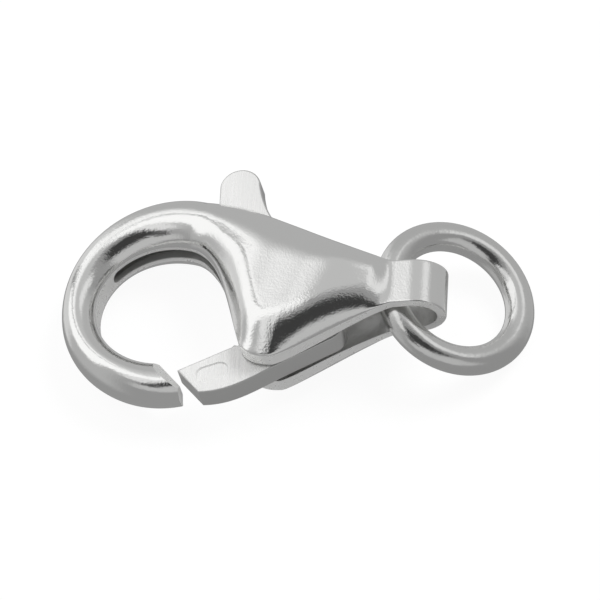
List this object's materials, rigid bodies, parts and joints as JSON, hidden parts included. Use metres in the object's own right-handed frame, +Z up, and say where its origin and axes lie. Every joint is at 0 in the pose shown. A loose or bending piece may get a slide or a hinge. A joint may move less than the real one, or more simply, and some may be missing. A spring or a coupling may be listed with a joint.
{
  "type": "lobster clasp",
  "caption": "Trigger clasp of folded silver sheet with a round hook, two domed half shells, a pivoted plate lever with thumb tab, and a closed jump ring in its tail loop.",
  "frame": {"origin": "on the surface that the clasp lies on, under the centre of its box", "axes": "+X from the hook to the tail and the jump ring, +Y towards the thumb tab, +Z up out of the front face"},
  "size_m": [0.018, 0.0099, 0.0045],
  "materials": {
    "polished_silver": "polished sterling silver, fine scratches",
    "brushed_silver": "fine brushed sterling silver",
    "pin_silver": "drawn silver wire, satin",
    "ring_silver": "tumbled sterling silver wire, semi-bright"
  },
  "bodies": {
    "clasp": {"shell": "polished_silver", "pivot_pin": "pin_silver", "jump_ring": "ring_silver"},
    "trigger": {"lever": "brushed_silver"}
  },
  "joints": [
    {"name": "lever_pivot", "type": "hinge", "parent": "clasp", "child": "trigger", "pos_m": [-0.00052, -0.00249, 0.00217], "axis": [0.1368, 0, -0.9906], "range_deg": [0, 28], "stiffness_Nm_per_rad": 0.006, "springref_deg": -20.05}
  ]
}
